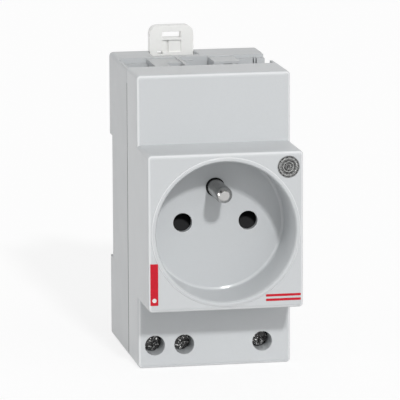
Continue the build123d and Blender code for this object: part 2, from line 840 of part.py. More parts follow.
def make_earth_strip():
    """Strip from the riveted earth pin down to the earth terminal."""
    half = strip_width / 2
    end_x = terminal_x["earth"]
    bottom = cavity_bottom + strip_end_gap
    slant = abs(end_x)
    outline = [
        (-half, earth_rise),
        (-half, earth_jog_z),
        (end_x - half, earth_jog_z - slant),
        (end_x - half, bottom),
        (end_x + half, bottom),
        (end_x + half, earth_jog_z - slant + half),
        (half, earth_jog_z + half),
        (half, earth_rise),
    ]
    strip = front_profile(outline, strip_front, strip_back)
    strip += rod_y(earth_eye_radius, strip_front, strip_back, 0, earth_rise)
    return strip - rod_y(rivet_radius, strip_front - overlap, strip_back + overlap, 0, earth_rise)


def make_cage(x):
    """Rising clamp: a folded box, open above and below, with the screw hole in its front."""
    depth = cage_rear - cage_front
    section = Pos(x, cage_front + depth / 2) * RectangleRounded(cage_width, depth, cage_corner)
    low = terminal_z - cage_height / 2
    cage = Pos(0, 0, low) * extrude(section, cage_height)
    half_inner = cage_width / 2 - cage_side_wall
    cage -= block(x - half_inner, x + half_inner, cage_inner_front, cage_inner_rear,
                  low - overlap, low + cage_height + overlap)
    hole = screw_radius + running_gap
    return cage - rod_y(hole, cage_front - overlap, cage_inner_front + overlap, x, terminal_z)


def make_screw(x):
    """Terminal screw with a chamfered head and a crossed drive."""
    outline = [
        (0, head_front),
        (head_radius - head_chamfer, head_front),
        (head_radius, head_front + head_chamfer),
        (head_radius, ledge_front),
        (screw_radius, ledge_front),
        (screw_radius, screw_tip - head_chamfer),
        (screw_radius - head_chamfer, screw_tip),
        (0, screw_tip),
    ]
    screw = turned(outline, x, terminal_z)
    half = drive_width / 2
    reach = head_radius + overlap
    slot = block(x - reach, x + reach, head_front - overlap, head_front + drive_depth,
                 terminal_z - half, terminal_z + half)
    cross_reach = head_radius - head_chamfer
    cross = block(x - half, x + half, head_front - overlap, head_front + drive_depth,
                  terminal_z - cross_reach, terminal_z + cross_reach)
    return screw - slot - cross


def make_lens():
    """Clear lens with grooved rings in its face and a light guide behind."""
    outline = [
        (0, lens_front),
        (lens_radius - lens_proud, lens_front),
        (lens_radius, lens_front + lens_proud),
        (lens_radius, lens_step),
        (lens_stem_radius, lens_step),
        (lens_stem_radius, lens_tip),
        (0, lens_tip),
    ]
    lens = turned(outline, lens_x, lens_z)
    for radius in lens_groove_radii:
        groove = [
            (radius - lens_groove_width, lens_front - overlap),
            (radius + lens_groove_width, lens_front - overlap),
            (radius + lens_groove_width, lens_front),
            (radius, lens_front + lens_groove_depth),
            (radius - lens_groove_width, lens_front),
        ]
        lens -= turned(groove, lens_x, lens_z)
    return lens


def make_lamp():
    """Neon lamp: a small glass tube with a domed tip."""
    tube = rod_y(lamp_radius, lamp_front + lamp_radius, lamp_rear, lens_x, lens_z)
    return tube + Pos(lens_x, lamp_front + lamp_radius, lens_z) * Sphere(lamp_radius)


def make_resistor():
    """Series resistor with thicker ends, lying along X."""
    half = resistor_length / 2
    body = Cylinder(resistor_radius, resistor_length)
    for side in (-1, 1):
        body += Pos(0, 0, side * (half - resistor_end / 2)) * Cylinder(resistor_end_radius, resistor_end)
    return Pos(resistor_centre_x, -resistor_back, resistor_centre_z) * Rot(0, 90, 0) * body


def make_leads():
    """The stiff wires between the lamp, the resistor and the two contacts."""
    run_y = -resistor_back
    turn_y = run_y - lead_bend - lead_radius
    first = lens_x + lead_pitch / 2
    second = lens_x - lead_pitch / 2
    line_x = terminal_x["line"]
    neutral_x = terminal_x["neutral"]
    solder_z = solder_tab_rise - 2 * lead_radius
    half = resistor_length / 2
    right = resistor_centre_x + half
    left = resistor_centre_x - half
    line_route = [
        (first, lamp_rear, lens_z),
        (first, run_y, lens_z),
        (line_x + lead_pitch, run_y, solder_z),
        (line_x + lead_pitch, strip_front, solder_z),
    ]
    resistor_route = [
        (second, lamp_rear, lens_z),
        (second, turn_y, lens_z),
        (right + 2 * lead_bend, run_y, resistor_centre_z),
        (right, run_y, resistor_centre_z),
    ]
    neutral_route = [
        (left, run_y, resistor_centre_z),
        (-pin_spacing / 2, run_y, resistor_centre_z),
        (neutral_x, run_y, solder_z),
        (neutral_x, strip_front, solder_z),
    ]
    return {
        "lamp_lead_line": lead(line_route),
        "lamp_lead_resistor": lead(resistor_route),
        "resistor_lead_neutral": lead(neutral_route),
    }


def make_parts():
    """Every piece, under its node's name."""
    left = -pin_spacing / 2
    right = pin_spacing / 2
    pieces = {
        "rear_base": make_rear_base(),
        "front_cover": make_front_cover(),
        "well_floor": make_well_floor(),
        "contact_carrier": make_contact_carrier(),
        "shutter": make_shutter(),
        "shutter_spring": make_shutter_spring(),
        "rail_clip": make_rail_clip(),
        "clip_spring": make_clip_spring(),
        "earth_pin": make_earth_pin(),
        "earth_strip": make_earth_strip(),
        "neutral_contact": make_contact(left, terminal_x["neutral"]),
        "line_contact": make_contact(right, terminal_x["line"]),
        "neutral_grip_spring": make_grip_spring(left),
        "line_grip_spring": make_grip_spring(right),
        "indicator_lens": make_lens(),
        "neon_lamp": make_lamp(),
        "series_resistor": make_resistor(),
    }
    pieces.update(make_leads())
    for name, x in terminal_x.items():
        pieces[name + "_cage"] = make_cage(x)
        pieces[name + "_screw"] = make_screw(x)
    return pieces


os.makedirs("parts", exist_ok=True)
for node, shape in make_parts().items():
    export_step(shape, "parts/" + node + ".step")
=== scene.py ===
"""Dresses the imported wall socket: materials, printed fields, small fittings, light and camera."""
import math

import bmesh
import bpy
from mathutils import Matrix, Vector
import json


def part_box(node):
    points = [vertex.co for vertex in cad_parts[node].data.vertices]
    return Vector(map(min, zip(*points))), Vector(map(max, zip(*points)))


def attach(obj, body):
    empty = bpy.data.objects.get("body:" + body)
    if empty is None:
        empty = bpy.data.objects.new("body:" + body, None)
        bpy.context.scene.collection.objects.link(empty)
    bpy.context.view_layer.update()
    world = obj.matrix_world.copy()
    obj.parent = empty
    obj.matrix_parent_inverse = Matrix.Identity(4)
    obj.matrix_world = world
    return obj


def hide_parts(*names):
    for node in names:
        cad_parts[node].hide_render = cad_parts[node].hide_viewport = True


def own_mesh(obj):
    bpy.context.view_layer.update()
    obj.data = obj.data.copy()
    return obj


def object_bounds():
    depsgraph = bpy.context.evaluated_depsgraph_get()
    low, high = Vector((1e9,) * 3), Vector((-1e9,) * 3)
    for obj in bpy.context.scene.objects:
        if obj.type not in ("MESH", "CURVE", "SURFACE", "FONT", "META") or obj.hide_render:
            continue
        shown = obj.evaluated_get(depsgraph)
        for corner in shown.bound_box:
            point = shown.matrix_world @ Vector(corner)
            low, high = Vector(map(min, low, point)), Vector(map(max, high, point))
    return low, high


MM = 0.001

# Camera: the photograph's viewing angle, with its focal length and width in pixels
CAMERA_AZIMUTH = math.radians(-10.46)
CAMERA_ELEVATION = math.radians(10.36)
CAMERA_ROLL = math.radians(-0.248)
CAMERA_DISTANCE = 1151 * MM
CAMERA_TARGET = Vector((-1.21, -28.0, 3.15)) * MM
SENSOR_WIDTH = 36.0
PHOTO_FOCAL_LENGTH = 3977
PHOTO_WIDTH = 400
NEAREST_SEEN = 0.05
FARTHEST_SEEN = 20.0

# Colours, linear
HOUSING_GREY = (0.648, 0.666, 0.678)
BASE_SHADE = 0.89
INNER_GREY = (0.52, 0.52, 0.50)
CLIP_WHITE = (0.92, 0.92, 0.90)
SHUTTER_BLACK = (0.009, 0.009, 0.010)
# Black for painted shade in gaps
GAP_SHADE_BLACK = (0.010, 0.010, 0.010)
RESISTOR_BROWN = (0.34, 0.23, 0.11)
LENS_CLEAR = (0.80, 0.81, 0.80)
LAMP_CLEAR = (0.86, 0.80, 0.72)
RED = (0.60, 0.006, 0.022)
DOT_WHITE = (0.85, 0.85, 0.84)
NICKEL = (0.29, 0.287, 0.28)
NICKEL_POLISH_AND_REFLECTION = (0.52, 0.515, 0.505)
BRASS = (0.74, 0.56, 0.27)
ZINC = (0.55, 0.56, 0.57)
SCREW_STEEL = (0.055, 0.055, 0.055)
BARE_STEEL_AND_GLINT = (0.86, 0.86, 0.85)
SPRING_STEEL = (0.50, 0.50, 0.50)
COPPER_TIN = (0.62, 0.60, 0.56)

# Noise textures, as scale per metre, detail and roughness
DRIFT = (24.0, 1.0, 0.55)
SPECKS = (1900.0, 2.0, 0.55)
SMEAR = (160.0, 3.0, 0.55)
DIE_GRAIN = (3200.0, 1.0, 0.55)
SCRATCHES = (2600.0, 4.0, 0.6)
CLOUD = (240.0, 3.0, 0.55)
CHIP_AND_GLINT_SPECKS = (2300.0, 1.0, 0.55)
HAZE = (700.0, 3.0, 0.55)
INK_CLOUD = (900.0, 3.0, 0.55)
RING_WANDER = (900.0, 3.0, 0.55)
SPARKLE = (2400.0, 2.0, 0.7)

# The values of a noise texture that hold most of it, and nearly all of it
MOST_OF_NOISE = (0.35, 0.65)
WHOLE_NOISE = (0.2, 0.8)

# Moulded plastic: how strongly its textures show, and the rounding of its edges
FAINT_BLOTCH = 0.015
SPECK_SHARE = 0.4
SMEAR_SPREAD = 0.04
USUAL_SPECULAR = 0.45
SKIN_GLOSS = 0.12
FINE_GRAIN = 0.01 * MM
COARSE_GRAIN = 0.02 * MM
GRAIN_STRENGTH = 0.15
PLASTIC_EDGE = 0.18 * MM
EDGE_SAMPLES = 6

# Painted highlight on the rounded edges round the front: its pale tone, and the turns towards the front
# between which it shows
EDGE_HIGHLIGHT_WHITE = (0.95, 0.96, 0.97)
RIM_RISE = (0.42, 0.60)
RIM_FALL = (0.80, 0.95)

# Worked metal: its tones and gloss between the textures' ends, its scratches, its edges brighter from wear
# and painted glints, and its specks of chipped steel and painted glints
CLOUD_TONES = (0.86, 1.10)
GLOSS_SPREAD = (-0.06, 0.10)
SCRATCH_DEPTH = 0.012 * MM
SCRATCH_STRENGTH = 0.4
EVEN = (1.0, 1.0, 1.0)
METAL_EDGE = 0.10 * MM
USUAL_WEAR_AND_GLINT = 1.15
EDGE_TURN = (0.02, 0.20)
CHIP_AND_GLINT_SHARE = (0.62, 0.66)

# Clear glass: how much light passes, and its haze
GLASS_PASSED = 0.85
GLASS_IOR = 1.49
HAZE_TONE = 0.95
HAZE_GLOSS = 0.08
HAZE_DEPTH = 0.01 * MM
HAZE_STRENGTH = 0.3

# Printed ink: its tones and roughness between the cloud's ends, and its relief
INK_TONES = (0.92, 1.06)
INK_GLOSS = (0.36, 0.46)
INK_SPECULAR = 0.3
INK_DEPTH = 0.006 * MM
INK_STRENGTH = 0.3

# Nose of the housing that the prints lie on, as in the CAD
NOSE_FACE = -62.0 * MM
NOSE_HALF_WIDTH = 22.25 * MM
NOSE_HALF_HEIGHT = 22.5 * MM
NOSE_EDGE = 1.2 * MM

# Printed fields on the nose: left, right, bottom and top of the label field, its dot, and the stripes
LABEL_FIELD = (-21.75 * MM, -19.55 * MM, -20.34 * MM, -8.4 * MM)
LABEL_DOT_PLACE = (-20.65 * MM, -18.89 * MM)
LABEL_DOT_RADIUS = 0.62 * MM
STRIPE_LEFT = 11.37 * MM
STRIPE_RIGHT = 21.42 * MM
STRIPE_MIDDLES = {"stripe_upper": -18.66 * MM, "stripe_lower": -19.96 * MM}
STRIPE_WIDTH = 0.68 * MM
INK_FILM = 0.03 * MM
PRINT_CELL = 0.18 * MM
PRINT_CORNER = 0.12 * MM
CORNER_STEPS = 4
DOT_STEPS = 40
CUT_TOLERANCE = 1e-7

# Indicator lens: its axis and radius, and the painted light and shade of the rings of its face, as share of
# the radius and brightness
LENS_AXIS = (17.9 * MM, 0.0, 18.0 * MM)
LENS_RADIUS = 3.1 * MM
LENS_RING_SHADING = (
    (0.0, 0.24), (0.08, 0.12), (0.19, 0.28), (0.30, 0.12), (0.39, 0.07), (0.43, 0.80), (0.49, 0.80),
    (0.52, 0.14), (0.62, 0.16), (0.68, 0.32), (0.82, 0.46), (0.87, 0.20), (0.93, 0.12), (0.97, 0.70),
)

# Lens outline as radius and place along Y, in mm
LENS_PROFILE = (
    (0.0, -61.86), (0.15, -61.85), (0.25, -61.80), (0.34, -61.80), (0.43, -61.80), (0.52, -61.80),
    (0.60, -61.76), (0.68, -61.76), (0.80, -61.74), (0.92, -61.72), (1.04, -61.70), (1.16, -61.66),
    (1.22, -61.64), (1.27, -61.70), (1.33, -62.02), (1.38, -62.10), (1.48, -62.10), (1.55, -62.02),
    (1.64, -61.74), (1.72, -61.68), (1.88, -61.68), (1.96, -61.76), (2.04, -62.00), (2.10, -62.05),
    (2.20, -62.05), (2.30, -62.05), (2.40, -62.05), (2.50, -62.05), (2.62, -62.05), (2.70, -62.00),
    (2.78, -61.76), (2.84, -61.70), (2.92, -61.70), (2.97, -61.78), (3.02, -61.94), (3.06, -61.96),
    (3.10, -61.90), (3.10, -59.50), (3.00, -59.40), (2.30, -59.40), (2.30, -55.90), (2.20, -55.80),
    (0.0, -55.80),
)

# Rings of facets on the lens, as inner and outer radius in mm, count, and height in mm
LENS_FACETS = ((0.20, 0.62, 5, 0.16), (0.64, 1.20, 10, 0.22), (2.06, 2.66, 20, 0.13))

# Lens material: how far its rings wander, and its painted glints and painted dark specks of shade as low,
# high, start and end
RING_SHIFT = 0.06
RING_DEPTH = 0.08 * MM
RING_STRENGTH = 0.6
LENS_GLOSS = (0.07, 0.16)
LENS_PASSED = 0.25
PAINTED_GLINT_SPECKS = (0.0, 0.60, 0.50, 0.62)
PAINTED_SHADE_SPECKS = (0.75, 0.0, 0.36, 0.47)
PAINTED_SHADE_SPECK_TONE = 0.02

# Earth pin: its axis, its outline with the flat and the chamfer of its tip, as radius and place along Y in
# mm, and the stretch along Y where its brighter tip, partly polish and partly painted reflection, fades
PIN_AXIS = (0.0, 10.0 * MM)
PIN_PROFILE = (
    (0.0, -60.20), (1.28, -60.20), (1.34, -60.16), (1.92, -59.61), (2.08, -59.44), (2.21, -59.24),
    (2.31, -59.00), (2.37, -58.74), (2.40, -58.44), (2.40, -52.0), (2.40, -45.60), (2.20, -45.50),
    (2.20, -43.50), (3.60, -43.50), (3.60, -42.30), (2.40, -42.30), (2.40, -27.60), (1.50, -27.60),
    (1.50, -26.60), (2.30, -26.60), (2.15, -26.30), (2.00, -26.00), (0.0, -26.00),
)
PIN_POLISH_AND_REFLECTION_FADE = (-59.2 * MM, -58.2 * MM)

# Dark ring of painted shade in the gap round the pin's foot, as radius and place along Y in mm
GAP_SHADE_PROFILE = (
    (2.24, -45.34), (2.34, -45.42), (2.64, -45.42), (2.73, -45.34), (2.73, -44.20), (2.24, -44.20),
)

# Turned pieces: steps round them, and the turn from which an edge stays sharp
TURN_STEPS = 120
SHARP_TURN = math.radians(28)

# Wound springs, as node, wire radius, turns, joint, its travel and which end stays put
SPRINGS = (
    ("clip_spring", 0.25 * MM, 8, "clip_slide", 4.5 * MM, "high"),
    ("shutter_spring", 0.22 * MM, 7, "shutter_slide", 7.2 * MM, "low"),
)
CLOSED_TURNS = 0.75
WIRE_SIDES = 10
STEPS_PER_TURN = 32

# Parting line between cover and base: a dark strip, partly the joint's own dark and partly painted shade
SEAM_PLACE = -27.0 * MM
SEAM_BOTTOM = -41.0 * MM
SEAM_TOP = 38.0 * MM
SEAM_WIDE = 0.50 * MM
SEAM_NARROW = 0.10 * MM
SEAM_TAPER = 0.7
SEAM_FILM = 0.03 * MM
SEAM_STEPS = 40

# Lamps, as name, strength, azimuth, elevation and apparent size in degrees
LAMPS = (
    ("key", 1.33, 5.0, 31.0, 4.5),
    ("left_fill", 0.70, -80.0, 5.0, 24.0),
    ("front_fill", 0.48, 0.0, 8.0, 70.0),
    ("top_fill", 0.22, 0.0, 78.0, 60.0),
    ("back_fill", 0.26, 172.0, 38.0, 50.0),
    ("right_fill", 0.30, 60.0, 25.0, 50.0),
)

# Surroundings: their soft light, and the backdrop, white up to a height and a darker room overhead
WORLD_LIGHT = 0.34
BACKDROP_WHITE = 1.0
CEILING_TONE = 0.08
CEILING_FADE = (0.30, 0.62)

# Floor: how much of its white is seen without light, and how pale it is where it is seen and to the rest
FLOOR_HALF = 3.0
FLOOR_GAP = 0.05 * MM
FLOOR_LIFT = 0.80
FLOOR_SEEN_TONE = 0.25
FLOOR_TONE = 0.80
FLOOR_ROUGHNESS = 0.9

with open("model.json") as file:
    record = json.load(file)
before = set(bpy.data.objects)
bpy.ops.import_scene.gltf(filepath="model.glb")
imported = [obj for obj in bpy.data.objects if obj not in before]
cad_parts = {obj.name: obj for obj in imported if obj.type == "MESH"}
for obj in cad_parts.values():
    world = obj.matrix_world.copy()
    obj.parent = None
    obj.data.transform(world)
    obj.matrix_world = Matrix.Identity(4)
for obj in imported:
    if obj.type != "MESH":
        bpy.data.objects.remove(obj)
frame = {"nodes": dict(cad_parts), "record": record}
cad_low, cad_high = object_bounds()
nodes = frame["nodes"]


def new_material(name):
    """Empty node material with its node tree and its shader."""
    material = bpy.data.materials.new(name)
    material.use_nodes = True
    tree = material.node_tree
    tree.nodes.clear()
    output = tree.nodes.new("ShaderNodeOutputMaterial")
    shader = tree.nodes.new("ShaderNodeBsdfPrincipled")
    tree.links.new(shader.outputs["BSDF"], output.inputs["Surface"])
    return material, tree, shader


def coordinates(tree, kind="Object"):
    """Coordinates for a texture: the object's own unless another kind is named."""
    return tree.nodes.new("ShaderNodeTexCoord").outputs[kind]


def noise(tree, place, scale, detail, roughness):
    """Noise texture's value over the object."""
    node = tree.nodes.new("ShaderNodeTexNoise")
    node.inputs["Scale"].default_value = scale
    node.inputs["Detail"].default_value = detail
    node.inputs["Roughness"].default_value = roughness
    tree.links.new(place, node.inputs["Vector"])
    return node.outputs["Fac"]


def ramp(tree, value, low, high, start=MOST_OF_NOISE[0], end=MOST_OF_NOISE[1]):
    """Maps a value that goes from start to end to a number that goes from low to high."""
    node = tree.nodes.new("ShaderNodeMapRange")
    node.inputs["From Min"].default_value = start
    node.inputs["From Max"].default_value = end
    node.inputs["To Min"].default_value = low
    node.inputs["To Max"].default_value = high
    tree.links.new(value, node.inputs["Value"])
    return node.outputs["Result"]


def is_socket(value):
    """Whether a value is a node's socket rather than a plain value."""
    return isinstance(value, bpy.types.NodeSocket)


def feed(tree, sockets, values):
    """Gives each input socket a value, or links it to another socket."""
    for socket, value in zip(sockets, values):
        if is_socket(value):
            tree.links.new(value, socket)
        else:
            socket.default_value = value


def combine(tree, operation, *values):
    """Result of a calculation on numbers, or on number sockets."""
    node = tree.nodes.new("ShaderNodeMath")
    node.operation = operation
    feed(tree, node.inputs, values)
    return node.outputs["Value"]


def combine_vectors(tree, operation, *values):
    """Node of a calculation on vectors, or on vector sockets."""
    node = tree.nodes.new("ShaderNodeVectorMath")
    node.operation = operation
    feed(tree, node.inputs, values)
    return node


def part_along(tree, vector, axis):
    """One of a vector's three parts."""
    node = tree.nodes.new("ShaderNodeSeparateXYZ")
    tree.links.new(vector, node.inputs["Vector"])
    return node.outputs[axis]


def mix_colour(tree, factor, first, second):
    """Blend of two colours, or of colour sockets."""
    node = tree.nodes.new("ShaderNodeMix")
    node.data_type = "RGBA"
    tree.links.new(factor, node.inputs["Factor"])
    colour_inputs = [socket for socket in node.inputs if socket.type == "RGBA"]
    colours = [colour if is_socket(colour) else (*colour, 1.0) for colour in (first, second)]
    feed(tree, colour_inputs, colours)
    return next(socket for socket in node.outputs if socket.type == "RGBA")


def shade(colour, share):
    """A colour made lighter or darker by a share."""
    return tuple(min(1.0, channel * share) for channel in colour)


def bump(tree, shader, height, distance, strength, normal=None):
    """Surface relief, in metres, on the shader's normal."""
    node = tree.nodes.new("ShaderNodeBump")
    node.inputs["Strength"].default_value = strength
    node.inputs["Distance"].default_value = distance
    tree.links.new(height, node.inputs["Height"])
    if normal is not None:
        tree.links.new(normal, node.inputs["Normal"])
    tree.links.new(node.outputs["Normal"], shader.inputs["Normal"])


def soft_edges(tree, radius):
    """Normal that rounds the model's sharp edges."""
    node = tree.nodes.new("ShaderNodeBevel")
    node.samples = EDGE_SAMPLES
    node.inputs["Radius"].default_value = radius
    return node.outputs["Normal"]


def painted_edge_highlight(tree, strength):
    """Share of painted highlight on the rounded edges that turn from the front to the sides."""
    surface = tree.nodes.new("ShaderNodeNewGeometry")
    facing = tree.nodes.new("ShaderNodeVectorTransform")
    facing.vector_type = "NORMAL"
    facing.convert_from = "WORLD"
    facing.convert_to = "OBJECT"
    tree.links.new(surface.outputs["Normal"], facing.inputs["Vector"])
    toward = combine(tree, "MULTIPLY", part_along(tree, facing.outputs["Vector"], "Y"), -1.0)
    rising = ramp(tree, toward, 0.0, strength, *RIM_RISE)
    falling = ramp(tree, toward, 1.0, 0.0, *RIM_FALL)
    return combine(tree, "MULTIPLY", rising, falling)


def moulded_plastic(name, colour, gloss, grain=FINE_GRAIN, blotch=FAINT_BLOTCH, specular=USUAL_SPECULAR,
                    skin=0.0, edge_highlight=0.0):
    """Moulded plastic: fine die grain, faint colour drift, a clear skin and softened edges.

    Where a share of painted highlight is given, the edges round the front get a pale painted highlight.
    """
    material, tree, shader = new_material(name)
    place = coordinates(tree)
    drift = ramp(tree, noise(tree, place, *DRIFT), 0.0, 1.0, *WHOLE_NOISE)
    tone = mix_colour(tree, drift, shade(colour, 1 - blotch), shade(colour, 1 + blotch))
    specks = ramp(tree, noise(tree, place, *SPECKS), 0.0, SPECK_SHARE)
    tone = mix_colour(tree, specks, tone, shade(colour, 1 - 2 * blotch))
    if edge_highlight:
        # Painted highlight: the rounded edges round the front are mixed towards a pale tone
        tone = mix_colour(tree, painted_edge_highlight(tree, edge_highlight), tone, EDGE_HIGHLIGHT_WHITE)
    tree.links.new(tone, shader.inputs["Base Color"])
    smear = noise(tree, place, *SMEAR)
    roughness = ramp(tree, smear, gloss - SMEAR_SPREAD, gloss + SMEAR_SPREAD, *WHOLE_NOISE)
    tree.links.new(roughness, shader.inputs["Roughness"])
    shader.inputs["Specular IOR Level"].default_value = specular
    shader.inputs["Coat Weight"].default_value = skin
    shader.inputs["Coat Roughness"].default_value = SKIN_GLOSS
    bump(tree, shader, noise(tree, place, *DIE_GRAIN), grain, GRAIN_STRENGTH, soft_edges(tree, PLASTIC_EDGE))
    return material


def worn_and_glinting_edge(tree, rounded):
    """1 on the model's sharp edges, where plating wears bright and painted glints are laid, and 0 away from
    them.
    """
    surface = tree.nodes.new("ShaderNodeNewGeometry")
    likeness = combine_vectors(tree, "DOT_PRODUCT", rounded, surface.outputs["True Normal"])
    return ramp(tree, combine(tree, "SUBTRACT", 1.0, likeness.outputs["Value"]), 0.0, 1.0, *EDGE_TURN)


def metal(name, colour, gloss, stretch=EVEN, edge=METAL_EDGE, wear_and_glint=USUAL_WEAR_AND_GLINT, polish_and_reflection=None, chips_and_glints=0.0):
    """Worked metal: fine scratches along one axis, a cloudy sheen and edges brighter, partly worn and partly
    a painted glint.

    Where a tip colour is given, it is the pin's colour at its tip, brighter partly from polish and partly as
    a painted reflection; a share of specks gives bright specks, partly chipped bare steel and partly painted
    glints.
    """
    material, tree, shader = new_material(name)
    place = coordinates(tree)
    mapping = tree.nodes.new("ShaderNodeMapping")
    mapping.inputs["Scale"].default_value = stretch
    tree.links.new(place, mapping.inputs["Vector"])
    scratches = noise(tree, mapping.outputs["Vector"], *SCRATCHES)
    cloud = ramp(tree, noise(tree, place, *CLOUD), 0.0, 1.0)
    tone = mix_colour(tree, cloud, *(shade(colour, share) for share in CLOUD_TONES))
    if polish_and_reflection is not None:
        # Brighter towards the tip: partly polish and partly a painted reflection
        share = ramp(tree, part_along(tree, place, "Y"), 1.0, 0.0, *PIN_POLISH_AND_REFLECTION_FADE)
        tone = mix_colour(tree, share, tone, polish_and_reflection)
    # Bright specks, partly chipped bare steel and partly painted glints
    if chips_and_glints:
        chip_and_glint_share = ramp(tree, noise(tree, place, *CHIP_AND_GLINT_SPECKS), 0.0, chips_and_glints, *CHIP_AND_GLINT_SHARE)
        tone = mix_colour(tree, chip_and_glint_share, tone, BARE_STEEL_AND_GLINT)
    rounded = soft_edges(tree, edge)
    # Sharp edges brighter, partly wear and partly a painted glint
    tone = mix_colour(tree, worn_and_glinting_edge(tree, rounded), tone, shade(colour, wear_and_glint))
    tree.links.new(tone, shader.inputs["Base Color"])
    roughness = ramp(tree, scratches, *(gloss + change for change in GLOSS_SPREAD))
    tree.links.new(roughness, shader.inputs["Roughness"])
    shader.inputs["Metallic"].default_value = 1.0
    bump(tree, shader, scratches, SCRATCH_DEPTH, SCRATCH_STRENGTH, rounded)
    return material


def clear_glass(name, tint, gloss):
    """Clear glass with a little haze."""
    material, tree, shader = new_material(name)
    place = coordinates(tree)
    haze = noise(tree, place, *HAZE)
    tree.links.new(ramp(tree, haze, gloss, gloss + HAZE_GLOSS), shader.inputs["Roughness"])
    tone = mix_colour(tree, ramp(tree, haze, 0.0, 1.0), shade(tint, HAZE_TONE), tint)
    tree.links.new(tone, shader.inputs["Base Color"])
    shader.inputs["Transmission Weight"].default_value = GLASS_PASSED
    shader.inputs["IOR"].default_value = GLASS_IOR
    bump(tree, shader, haze, HAZE_DEPTH, HAZE_STRENGTH)
    return material


def painted_ring_shading(tree, place, wander, tint):
    """Painted light and shade of each moulded ring round the lens's axis, with slightly uneven circles."""
    centred = combine_vectors(tree, "SUBTRACT", place, LENS_AXIS).outputs["Vector"]
    to_face = (1 / LENS_RADIUS, 0.0, 1 / LENS_RADIUS)
    on_face = combine_vectors(tree, "MULTIPLY", centred, to_face).outputs["Vector"]
    reach = combine_vectors(tree, "LENGTH", on_face).outputs["Value"]
    shifted = combine(tree, "MULTIPLY_ADD", wander, RING_SHIFT, reach)
    uneven_reach = combine(tree, "SUBTRACT", shifted, RING_SHIFT / 2)
    rings = tree.nodes.new("ShaderNodeValToRGB")
    stops = rings.color_ramp.elements
    while len(stops) < len(LENS_RING_SHADING):
        stops.new(1.0)
    for stop, (share, tone) in zip(stops, LENS_RING_SHADING):
        stop.position = share
        stop.color = (*shade(tint, tone), 1.0)
    tree.links.new(uneven_reach, rings.inputs["Fac"])
    return rings.outputs["Color"]


def ringed_lens(name, tint):
    """Clear lens with painted light and shade in circles for its moulded rings, and painted glints and dark
    specks.
    """
    material, tree, shader = new_material(name)
    place = coordinates(tree)
    wander = noise(tree, place, *RING_WANDER)
    rings = painted_ring_shading(tree, place, wander, tint)
    sparkle = noise(tree, place, *SPARKLE)
    # Painted glints, then painted dark specks of shade
    tone = mix_colour(tree, ramp(tree, sparkle, *PAINTED_GLINT_SPECKS), rings, tint)
    tone = mix_colour(tree, ramp(tree, sparkle, *PAINTED_SHADE_SPECKS), tone, shade(tint, PAINTED_SHADE_SPECK_TONE))
    tree.links.new(tone, shader.inputs["Base Color"])
    tree.links.new(ramp(tree, wander, *LENS_GLOSS), shader.inputs["Roughness"])
    shader.inputs["Transmission Weight"].default_value = LENS_PASSED
    shader.inputs["IOR"].default_value = GLASS_IOR
    bump(tree, shader, rings, RING_DEPTH, RING_STRENGTH)
    return material


def printed(name, colour):
    """Printed ink: a thin satin coat with a slightly uneven tone."""
    material, tree, shader = new_material(name)
    place = coordinates(tree)
    cloud = noise(tree, place, *INK_CLOUD)
    tone = mix_colour(tree, ramp(tree, cloud, 0.0, 1.0), *(shade(colour, share) for share in INK_TONES))
    tree.links.new(tone, shader.inputs["Base Color"])
    tree.links.new(ramp(tree, cloud, *INK_GLOSS), shader.inputs["Roughness"])
    shader.inputs["Specular IOR Level"].default_value = INK_SPECULAR
    bump(tree, shader, cloud, INK_DEPTH, INK_STRENGTH)
    return material


MATERIALS = {
    # The housing's rounded front edges carry a painted highlight
    "housing_plastic": moulded_plastic("housing_plastic", HOUSING_GREY, gloss=0.33, specular=0.13, skin=0.15,
                                       edge_highlight=0.70),
    "inner_plastic": moulded_plastic("inner_plastic", INNER_GREY, gloss=0.5, grain=COARSE_GRAIN),
    "shutter_plastic": moulded_plastic("shutter_plastic", SHUTTER_BLACK, gloss=0.40, blotch=0.15,
                                       specular=0.15),
    "clip_plastic": moulded_plastic("clip_plastic", CLIP_WHITE, gloss=0.30, blotch=0.008, skin=0.4),
    "spring_steel": metal("spring_steel", SPRING_STEEL, gloss=0.24),
    "nickel_plate": metal("nickel_plate", NICKEL, gloss=0.17, stretch=(1.0, 0.06, 1.0), edge=0.04 * MM,
                          polish_and_reflection=NICKEL_POLISH_AND_REFLECTION),
    "brass_strip": metal("brass_strip", BRASS, gloss=0.28, stretch=(1.0, 1.0, 0.08)),
    "zinc_steel": metal("zinc_steel", ZINC, gloss=0.32, stretch=(1.0, 1.0, 0.1)),
    # Dark screws whose sharp edges and bright specks are painted glints, partly worn edges and chipped steel
    "screw_steel": metal("screw_steel", SCREW_STEEL, gloss=0.22, edge=0.12 * MM, wear_and_glint=14.0, chips_and_glints=1.0),
    "clear_lens": ringed_lens("clear_lens", LENS_CLEAR),
    "lamp_glass": clear_glass("lamp_glass", LAMP_CLEAR, gloss=0.04),
    "resistor_body": moulded_plastic("resistor_body", RESISTOR_BROWN, gloss=0.25),
    "copper_lead": metal("copper_lead", COPPER_TIN, gloss=0.26),
}
BASE_PLASTIC = moulded_plastic("base_plastic", shade(HOUSING_GREY, BASE_SHADE), gloss=0.33, specular=0.13,
                               skin=0.11)
# Black of painted shade in gaps: the ring round the pin's foot, and the parting line, which is partly the
# joint's own dark
GAP_SHADE = moulded_plastic("gap_shade_black", GAP_SHADE_BLACK, gloss=0.6, blotch=0.2, specular=0.2)
RED_INK = printed("red_ink", RED)
WHITE_INK = printed("white_ink", DOT_WHITE)


def dress_nodes():
    """Gives each CAD piece the material of its slot in the record, and the base its own shade of grey."""
    for part in frame["record"]["subparts"]:
        node = nodes[part["node"]]
        node.data.materials.clear()
        node.data.materials.append(MATERIALS[part["material_slot"]])
    nodes["rear_base"].data.materials[0] = BASE_PLASTIC


def add_object(name, data):
    """New object in the scene."""
    thing = bpy.data.objects.new(name, data)
    bpy.context.scene.collection.objects.link(thing)
    return thing


